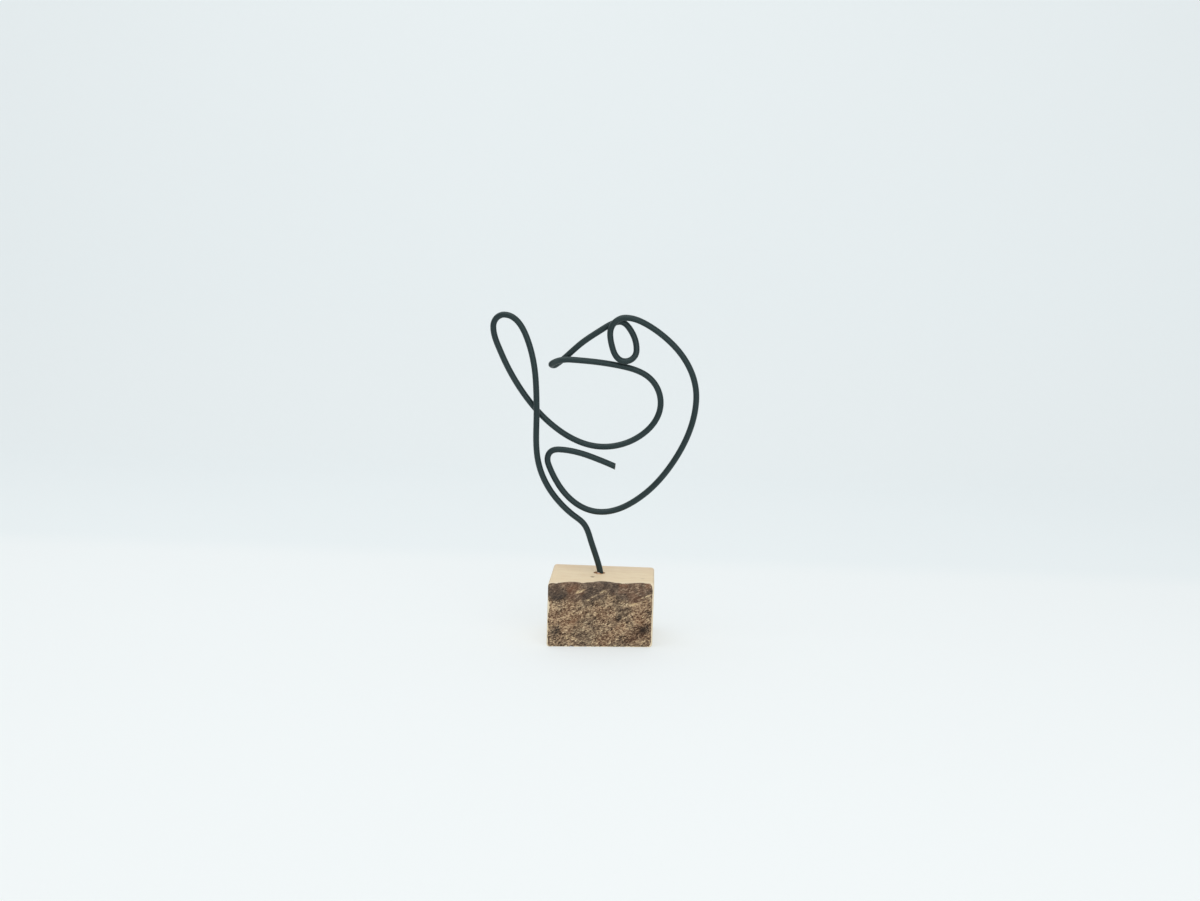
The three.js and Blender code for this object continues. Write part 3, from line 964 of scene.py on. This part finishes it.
def sliver_tree(material):
    """Geometry Nodes that strew thin slivers over the torn bark, along its fibres."""
    measures = [(label, "NodeSocketFloat") for label in ("Density", "Length", "Width", "Thickness", "Lean")]
    tree, sockets, given, result = new_geometry_tree(
        "Bark slivers", [("Bark", "NodeSocketObject"), *measures, ("Seed", "NodeSocketInt")], "Slivers")
    bark = add(tree, "GeometryNodeObjectInfo", {"Object": given["Bark"]}, transform_space="ORIGINAL")
    strewn = add(tree, "GeometryNodeInputNamedAttribute", {"Name": "strewn"}, data_type="FLOAT")
    density = times(tree, strewn.outputs["Attribute"], given["Density"])
    points = add(tree, "GeometryNodeDistributePointsOnFaces", {
        "Mesh": bark.outputs["Geometry"], "Density": density, "Seed": given["Seed"]},
        distribute_method="RANDOM")
    chip = add(tree, "GeometryNodeMeshIcoSphere", {"Radius": 0.5, "Subdivisions": 2})
    wander = add(tree, "FunctionNodeRandomValue", {2: -0.3, 3: 0.3, "Seed": 4}, data_type="FLOAT").outputs[1]
    lean = plus(tree, given["Lean"], wander)
    along = add(tree, "ShaderNodeCombineXYZ", {
        "X": math_node(tree, "COSINE", lean), "Z": math_node(tree, "SINE", lean)})
    turned = add(tree, "FunctionNodeAxesToRotation", {
        "Primary Axis": points.outputs["Normal"], "Secondary Axis": along.outputs[0]},
        primary_axis="Z", secondary_axis="X")
    size = add(tree, "ShaderNodeCombineXYZ", {
        "X": given["Length"], "Y": given["Width"], "Z": given["Thickness"]})
    vary = add(tree, "FunctionNodeRandomValue", {0: (0.35, 0.5, 0.5), 1: (1.5, 1.3, 1.2), "Seed": 9},
               data_type="FLOAT_VECTOR").outputs[0]
    scale = add(tree, "ShaderNodeVectorMath", {0: size.outputs[0], 1: vary}, operation="MULTIPLY")
    placed = add(tree, "GeometryNodeInstanceOnPoints", {
        "Points": points.outputs["Points"], "Instance": chip.outputs["Mesh"],
        "Rotation": turned.outputs[0], "Scale": scale.outputs[0]})
    plain = add(tree, "GeometryNodeRealizeInstances", {"Geometry": placed.outputs[0]})
    painted = add(tree, "GeometryNodeSetMaterial", {"Geometry": plain.outputs[0], "Material": material})
    tree.links.new(painted.outputs[0], result["Slivers"])
    return tree, sockets


def mark_strewn(mesh):
    """Slivers gather on the torn bark, in loose drifts, and just under the skin's edge."""
    values = []
    for vertex in mesh.vertices:
        x, y, z = vertex.co / MM
        inside = edge_distance(x, z, RIM_RIGHT, 0, RIGHT_CORNER)
        if y > bark_line(x) + 2.2 or z > BLOCK_HEIGHT - 1.2 or inside < 0.8:
            values.append(0.0)
            continue
        along, across = fibre_frame(x, z)
        drift = max(0, 0.25 + 1.3 * noise.noise(Vector((along / 7, across / 3, 31))))
        skin = skin_share(x, z)
        under_edge = skin_share(x, z + 1.5) * (1 - skin)
        pale = 3.0 * max(0, spots(TONE_SPOTS, x, z) - 0.7)
        values.append(drift * (1 - skin) * bark_share(x, y, z) + 0.7 * under_edge + pale)
    add_values(mesh, "strewn", values)


def make_slivers(block, material):
    mark_strewn(block.data)
    tree, sockets = sliver_tree(material)
    length, width, thickness = SLIVER_SIZE
    return grown("bark_slivers", tree, sockets, {
        "Bark": block, "Density": SLIVER_DENSITY, "Length": length * MM, "Width": width * MM,
        "Thickness": thickness * MM, "Lean": FIBRE_LEAN, "Seed": SLIVER_SEED}, material)


def make_glue(material):
    """The glue in the hole: a low dish round the wire's foot, drawn up against the wire on its left."""
    sides = HOLE_SIDES
    foot = Vector((-1.0, MIDDLE))
    wall = HOLE_DIAMETER / 2 - 0.02
    # Each ring's radius, its height over the top, and how far it climbs on the glue's side.
    rings = ((wall, -0.25, 0), (2.1, -0.4, 0), (1.8, -0.3, 0.2), (1.60, -0.1, 1.7), (1.35, -0.4, 1.3),
             (1.2, -2.0, 0), (wall, -2.0, 0))
    places = []
    for radius, height, climb in rings:
        share = (HOLE_DIAMETER / 2 - radius) / (HOLE_DIAMETER / 2 - 1.6)
        middle = Vector((HOLE_X, HOLE_Y)).lerp(foot, min(1, max(0, share)))
        for i in range(sides):
            angle = 2 * math.pi * i / sides
            lift = height + climb * max(0, math.cos(angle - GLUE_SIDE)) ** 3
            places.append(ring_place(middle.x, middle.y, radius, angle, BLOCK_HEIGHT + lift))
    faces = []
    for ring in range(len(rings)):
        after = (ring + 1) % len(rings)
        for i in range(sides):
            j = (i + 1) % sides
            faces.append((ring * sides + i, ring * sides + j, after * sides + j, after * sides + i))
    return smooth_mesh("glue_dish", places, faces, material)


# ---------------- stage, light and camera

def make_sweep(material):
    """Floor and wall in one pale sheet with a round bend between them."""
    bend_start = 0.50
    bend_radius = 0.15
    bend_steps = 12
    reach = 1.6
    half_width = 1.8
    profile = [(-reach, 0.0), (bend_start * 0.5, 0.0)]
    for i in range(bend_steps + 1):
        angle = math.pi / 2 * i / bend_steps
        profile.append((bend_start + bend_radius * math.sin(angle), bend_radius * (1 - math.cos(angle))))
    profile.append((bend_start + bend_radius, reach))
    places = [(x, y, z) for y, z in profile for x in (-half_width, half_width)]
    faces = [(2 * i, 2 * i + 1, 2 * i + 3, 2 * i + 2) for i in range(len(profile) - 1)]
    made = smooth_mesh("studio_sweep", places, faces, material)


def make_light(name, place, size, power, colour):
    light = bpy.data.lights.new(name, "AREA")
    light.shape = "RECTANGLE"
    light.size, light.size_y = size
    light.energy = power
    light.color = colour
    made = bpy.data.objects.new(name, light)
    made.location = place
    made.rotation_mode = "QUATERNION"
    made.rotation_quaternion = (Vector((0, 0, 0.07)) - Vector(place)).to_track_quat("-Z", "Y")
    made.visible_camera = False
    bpy.context.collection.objects.link(made)


def make_world():
    """A soft even room. Seen directly it has the tone of the sweep, so the sweep's far edges don't show."""
    world = bpy.data.worlds.new("soft_room")
    world.use_nodes = True
    tree = world.node_tree
    sky = tree.nodes["Background"]
    sky.inputs["Color"].default_value = (0.98, 0.995, 1.0, 1)
    sky.inputs["Strength"].default_value = 0.58
    seen = add(tree, "ShaderNodeBackground", {"Color": (0.807, 0.868, 0.888, 1), "Strength": 1.0})
    direct = add(tree, "ShaderNodeLightPath").outputs["Is Camera Ray"]
    both = add(tree, "ShaderNodeMixShader", {0: direct, 1: sky.outputs[0], 2: seen.outputs[0]})
    tree.links.new(both.outputs[0], tree.nodes["World Output"].inputs["Surface"])
    bpy.context.scene.world = world


def make_camera():
    camera = bpy.data.cameras.new("camera")
    camera.lens = LENS
    camera.sensor_width = 36
    camera.clip_start = 0.01
    camera.clip_end = 20
    back = Vector((math.sin(CAMERA_TURN) * math.cos(CAMERA_RISE),
                   -math.cos(CAMERA_TURN) * math.cos(CAMERA_RISE), math.sin(CAMERA_RISE)))
    level = Vector((math.cos(CAMERA_TURN), math.sin(CAMERA_TURN), 0))
    upright = back.cross(level)
    right = level * math.cos(CAMERA_ROLL) + upright * math.sin(CAMERA_ROLL)
    up = upright * math.cos(CAMERA_ROLL) - level * math.sin(CAMERA_ROLL)
    made = bpy.data.objects.new("camera", camera)
    place = (LOOK_AT + back * CAMERA_DISTANCE) * MM
    made.matrix_world = Matrix.Translation(place) @ Matrix((right, up, back)).transposed().to_4x4()
    bpy.context.collection.objects.link(made)
    bpy.context.scene.camera = made


# ---------------- putting it together

make_camera()
make_world()
make_light("top_softbox", (-0.15, -0.20, 0.95), (0.9, 0.7), 3.6, SOFTBOX_WHITE)
make_light("front_softbox", (0.35, -0.95, 0.45), (0.9, 0.6), 2.6, SOFTBOX_WHITE)
bpy.context.scene.view_settings.view_transform = "Standard"

mottle = make_mottle()
fibres = make_fibres()
specks = make_specks()

make_sweep(studio_paper(mottle))
wire = make_wire(satin_black_wire(mottle, specks))
block = make_block(block_wood(mottle, fibres, specks))
slivers = make_slivers(block, torn_fibre(mottle, specks))
glue = make_glue(glue_skin(mottle))

for piece, slot in ((wire, "black_wire"), (block, "block_wood"), (slivers, "block_wood"),
                    (glue, "block_wood")):
    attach(piece, "root")
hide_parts("wire_bird")
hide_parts("bark_block")
